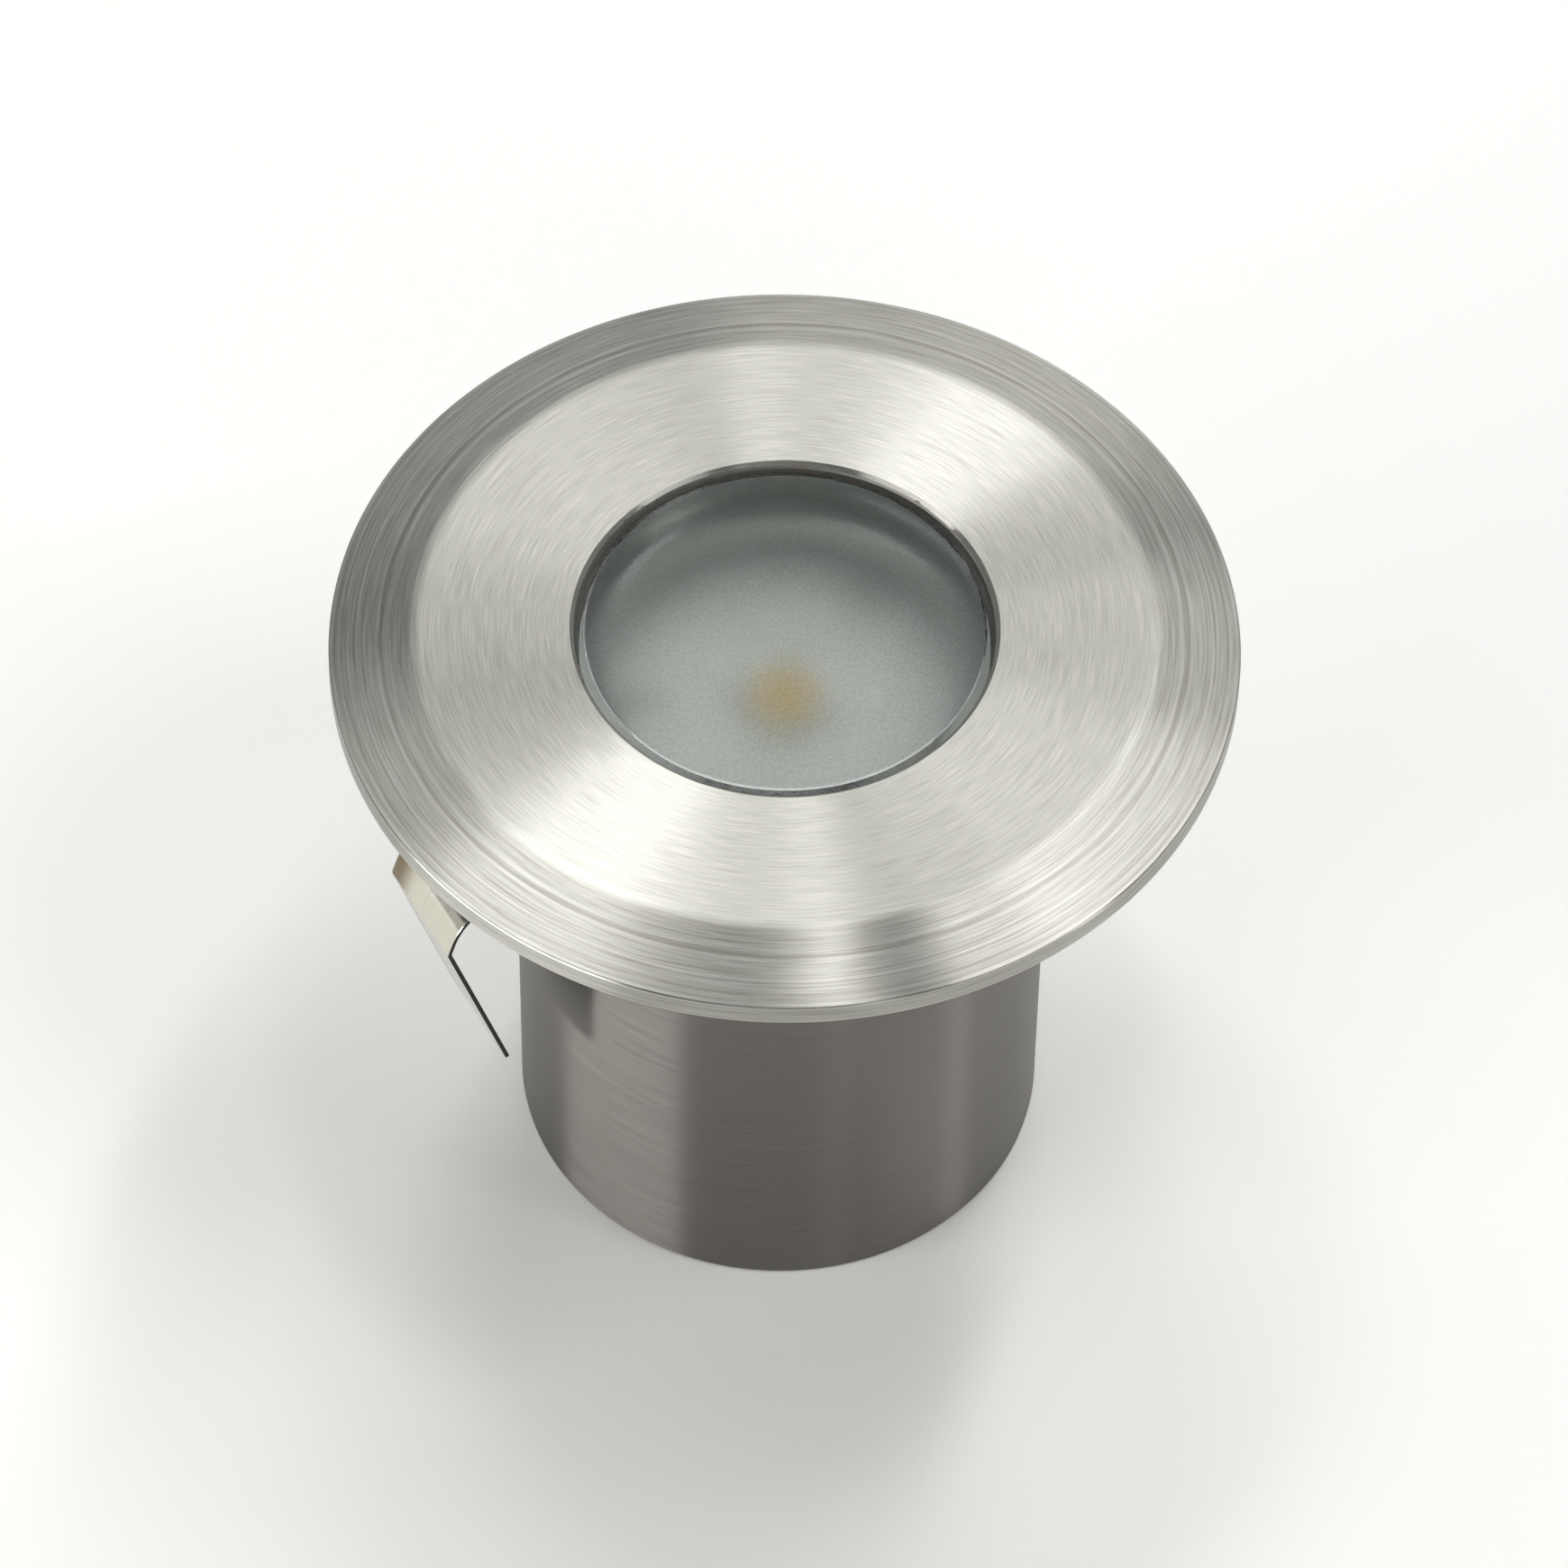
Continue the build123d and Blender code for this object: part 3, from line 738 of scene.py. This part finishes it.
def makeHousing(shape):
    # turned from its half section; within the rows of a clip's seat the radius is held to the milled flat
    low, high = boxOf("housing")
    body, top, base = high[0], high[2], low[2]
    edge = shape["edgeRound"]
    bore = body - shape["wall"]
    cavity = bore - shape["seatWidth"]
    step = boxOf("heat_sink")[0][2]
    gland = boxOf("gland_seal")[1][0] + shape["glandGap"]
    sealTop = boxOf("gland_seal")[1][2]
    grooveOut = boxOf("bezel_o_ring")[1][0] + shape["grooveGap"]
    grooveIn = grooveOut - shape["ringWidth"] - 2 * shape["grooveGap"]
    grooveFloor = top - shape["ringHeight"]
    profile = softCorners([
        (grooveOut, top, edge),
        (body, top, edge),
        (body, base, shape["baseChamfer"]),
        (gland, base, edge),
        (gland, sealTop, edge),
        (shape["cableHole"], sealTop, edge),
        (shape["cableHole"], sealTop + shape["baseLip"], edge),
        (cavity, sealTop + shape["baseLip"], edge),
        (cavity, step, edge),
        (bore, step, edge),
        (bore, top, edge),
        (grooveIn, top, edge),
        (grooveIn, grooveFloor, edge),
        (grooveOut, grooveFloor, edge),
    ], arcSteps=shape["arcSteps"])
    flatTop = boxOf("clip_foot_right")[1][2] + shape["flatGap"]
    flatBottom = clipHinge[2] - clipShape["rootBend"] - clipShape["thickness"] / 2 - shape["flatGap"]
    slope = shape["flatSlope"]
    inFlat = np.array([flatTop, flatTop - slope, flatBottom + slope, flatBottom])
    rows = np.concatenate([[flatTop + 2 * slope, flatTop + slope], inFlat,
                           [flatBottom - slope, flatBottom - 2 * slope]])
    at = 2 * (shape["arcSteps"] + 3)  # the wall starts after the first two corners
    profile = np.insert(profile, at, np.stack([rows * 0 + body, rows], 1), axis=0)
    angles = fullTurn(shape["turns"])
    points = turnedPoints(profile, angles)
    lean = np.maximum(np.abs(np.cos(angles)), 0.01)  # kept off zero
    held = np.minimum(body, (body - shape["flatDepth"]) / lean) / body
    points[at + 2:at + 2 + len(inFlat), :, :2] *= held[:, None]
    points = points.reshape(-1, 3)
    faces = gridFaces(len(profile), len(angles), wrapRows=True)
    piece = makePiece("housingCup", points, faces, [shadedBodySteel])
    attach(piece, "light")
    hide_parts("housing")


makeHousing(housingShape)
print("housing made")


# glass and its sealant

glassShape = {
    "chamfer": 0.45,  # wider than the CAD's, for the grey band that the photograph shows at the near rim
    "clearRim": 0.6,  # the margin that the blasting left clear
    "edgeRound": 0.03,
    "hold": 0.02,
    "film": 0.02,  # air between the glass and its gasket, so that light reaches the rubber
    "turns": 256,
}


def makeGlass(shape):
    # a disc turned from its half section, with the frosted face as its upper end
    low, high = boxOf("lens_glass")
    wide, top, bottom = high[0] + bezelShape["apertureGrowth"], high[2], low[2] + shape["film"]
    chamfer, edge = shape["chamfer"], shape["edgeRound"]
    profile = softCorners([
        (0, bottom, 0),
        (wide - chamfer, bottom, edge),
        (wide, bottom + chamfer, edge),
        (wide, top - chamfer, edge),
        (wide - chamfer, top, edge),
        (wide - shape["clearRim"], top, 0),
    ], closed=False, hold=shape["hold"])[1:]
    angles = fullTurn(shape["turns"])
    points = turnedPoints(profile, angles).reshape(-1, 3)
    faces = gridFaces(len(profile), len(angles))
    piece = makePiece("lensGlass", points, faces, [polish, frost], endFaces(len(profile), len(angles)))
    piece.data.polygons[len(faces) + 1].material_index = 1  # the upper end is frosted
    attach(piece, "light")
    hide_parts("lens_glass")


makeGlass(glassShape)

sealantShape = {
    "film": 0.02,  # clearance to the glass and to the bezel
    "smear": (0.01, 0.16),  # mm up the aperture's chamfer
    "bare": 0.25,  # share of the chamfer's waves that stays clean
    "smearDepth": 0.02,
    "glassDrop": 0.05,  # how far it lies under the glass's edge: at the glass, midway and at the bezel
    "middleDrop": 0.02,
    "bezelDrop": 0.2,
    "middleWave": 0.03,
    "waves": ((7, 0.4), (13, 1.9), (29, 4.2), (53, 0.7), (97, 2.6)),  # count round the ring, phase
    "turns": 720,
}


def makeSealant(shape):
    # a ring that fills the gap round the glass; its outer lip creeps up the chamfer, more in some places
    low, high = boxOf("lens_sealant")
    outer, bottom = high[0] + bezelShape["apertureGrowth"], low[2]
    inner = boxOf("lens_glass")[1][0] + bezelShape["apertureGrowth"] + shape["film"]
    bore = outer + shape["film"]
    top = boxOf("lens_glass")[1][2] - glassShape["chamfer"]
    chamfer = boxOf("bezel")[1][2] - bezelShape["apertureChamfer"]
    angles = fullTurn(shape["turns"])
    wave = sum(np.sin(count * angles + phase) for count, phase in shape["waves"]) / len(shape["waves"])
    least, most = shape["smear"]
    creep = least + (most - least) * np.clip(2 * wave - shape["bare"], 0, 1) ** 2
    flat = 0 * angles
    slant = np.sqrt(0.5)  # the chamfer rises at 45 degrees
    climb = creep * slant
    lift = shape["smearDepth"] * slant
    ring = [
        (inner + flat, bottom + flat),
        (inner + flat, top - shape["glassDrop"] + flat),
        ((inner + outer) / 2 + flat, top - shape["middleDrop"] + shape["middleWave"] * wave),
        (bore - lift + flat, chamfer + lift + flat),
        (bore - lift + climb, chamfer + lift + climb),
        (bore + climb + lift / 2, chamfer + climb + flat),
        (bore + flat, chamfer - lift + flat),
        (outer + flat, top - shape["bezelDrop"] + flat),
        (outer + flat, bottom + flat),
    ]
    radius = np.array([part[0] for part in ring])
    height = np.array([part[1] for part in ring])
    points = np.stack([radius * np.cos(angles), radius * np.sin(angles), height], -1).reshape(-1, 3)
    faces = gridFaces(len(ring), len(angles), wrapRows=True)
    piece = makePiece("lensSealantRing", points, faces, [slotFinishes["clear_silicone"]])
    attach(piece, "light")
    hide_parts("lens_sealant")


makeSealant(sealantShape)
print("glass and sealant made")


# studio: a pale floor that sweeps up all round, and soft boxes over and beside it

studio = {
    "floorColour": "#F7F7F5",
    "floorLift": 0.42,  # how much whiter than its light the floor is seen
    "floorRadius": 1.2,  # m
    "sweepRadius": 0.4,
    "sweepSteps": 13,
    "turns": 128,
    "boxDistance": 1.1,
    "air": 0.08,  # even light from all round
}
mirrored = (0, np.cos(np.radians(photoView["elevation"])), np.sin(np.radians(photoView["elevation"])))
upright = (0, 0, 1)
# towards: right, back and up as the photographer sees it; along: where the second side of its size
# points before the box is spun (degrees); the size is for a distance of 1
softBoxes = {
    "backBox": {
        "towards": (-0.019, 0.514, 0.858), "along": mirrored, "spin": 1,
        "size": (0.186, 0.271), "radiance": 5.1},
    "leftBox": {
        "towards": (-0.174, 0.372, 0.912), "along": mirrored, "spin": 19,
        "size": (0.169, 0.162), "radiance": 9.3},
    "rightBox": {
        "towards": (0.304, 0.468, 0.83), "along": mirrored, "spin": -30,
        "size": (0.533, 0.101), "radiance": 6.9},
    "topBox": {
        "towards": (0.077, 0.012, 0.997), "along": mirrored, "spin": -17,
        "size": (0.052, 0.274), "radiance": 9.5},
    "edgeBox": {
        "towards": (-0.415, 0.389, 0.822), "along": mirrored, "spin": 79,
        "size": (0.364, 0.382), "radiance": 1.15},
    "farBox": {
        "towards": (0.296, 0.305, 0.905), "along": mirrored, "spin": 58,
        "size": (0.067, 0.518), "radiance": 8.0},
    "frontBox": {
        "towards": (0.515, -0.207, 0.832), "along": mirrored, "spin": 2,
        "size": (0.337, 0.337), "radiance": 4.3},
    "backPanel": {
        "towards": (0.191, 0.886, 0.422), "along": upright, "spin": 0,
        "size": (0.491, 0.538), "radiance": 0.7},
    "frontPanel": {
        "towards": (0.0, -0.802, 0.597), "along": upright, "spin": 0,
        "size": (0.786, 0.344), "radiance": 0.45},
    "leftPanel": {
        "towards": (-0.84, -0.529, 0.09), "along": upright, "spin": 0,
        "size": (0.883, 0.17), "radiance": 20.0},
    "frontStrip": {
        "towards": (0.348, -0.93, 0.121), "along": upright, "spin": 0,
        "size": (0.12, 0.208), "radiance": 2.5},
    "rightStrip": {
        "towards": (0.907, -0.403, 0.121), "along": upright, "spin": 0,
        "size": (0.15, 0.208), "radiance": 7.5},
}


def makeFloor():
    # flat to the floor's radius, then a quarter of a circle up, carried round the axis
    swing = np.linspace(0, np.pi / 2, studio["sweepSteps"])
    reach = studio["floorRadius"] + studio["sweepRadius"] * np.sin(swing)
    rise = studio["sweepRadius"] * (1 - np.cos(swing)) + np.array(cadBox[0])[2]
    profile = np.stack([reach, rise], 1) / mm
    angles = fullTurn(studio["turns"])
    points = turnedPoints(profile, angles).reshape(-1, 3)
    # seen by the eye, in metal or through glass, the paper is whiter than it lights the object
    material, tree, coords = newMaterial("paperPaleMatte")
    rays = addNode(tree, "ShaderNodeLightPath").outputs
    shiny = addMath(tree, "MAXIMUM", rays["Is Glossy Ray"], rays["Is Transmission Ray"])
    seen = addMath(tree, "MAXIMUM", rays["Is Camera Ray"], shiny)
    lift = addMath(tree, "MULTIPLY_ADD", seen, studio["floorLift"], 1.0)
    colour = addNode(tree, "ShaderNodeVectorMath", operation="SCALE", inputs={
        0: linear(studio["floorColour"])[:3], "Scale": lift}).outputs[0]
    showSurface(tree, "ShaderNodeBsdfDiffuse", {"Color": colour})
    floor = makePiece("studioFloor", points, gridFaces(len(profile), len(angles)), [material],
                      endFaces(len(profile), len(angles))[:1])


def unit(direction):
    return direction / np.linalg.norm(direction)


def addLights():
    far = studio["boxDistance"]
    for name, box in softBoxes.items():
        data = bpy.data.lights.new(name, "AREA")
        data.shape = "RECTANGLE"
        data.size, data.size_y = np.array(box["size"]) * far
        data.energy = box["radiance"] * np.pi * data.size * data.size_y
        lamp = bpy.data.objects.new(name, data)
        lamp.visible_camera = False
        away = unit(turnedToView(*box["towards"]))
        side = unit(np.cross(turnedToView(*box["along"]), away))
        over = np.cross(away, side)
        spin = np.radians(box["spin"])
        side, over = np.cos(spin) * side - np.sin(spin) * over, np.sin(spin) * side + np.cos(spin) * over
        axes = np.eye(4)
        axes[:3, 0], axes[:3, 1], axes[:3, 2], axes[:3, 3] = side, over, away, away * far
        lamp.matrix_world = Matrix(axes.tolist())
        scene.collection.objects.link(lamp)
    world = bpy.data.worlds.new("studioAir")
    world.use_nodes = True
    glow = world.node_tree.nodes["Background"].inputs
    glow["Color"].default_value = (1, 1, 1, 1)
    glow["Strength"].default_value = studio["air"]
    scene.world = world


makeFloor()
addLights()
print("studio made")
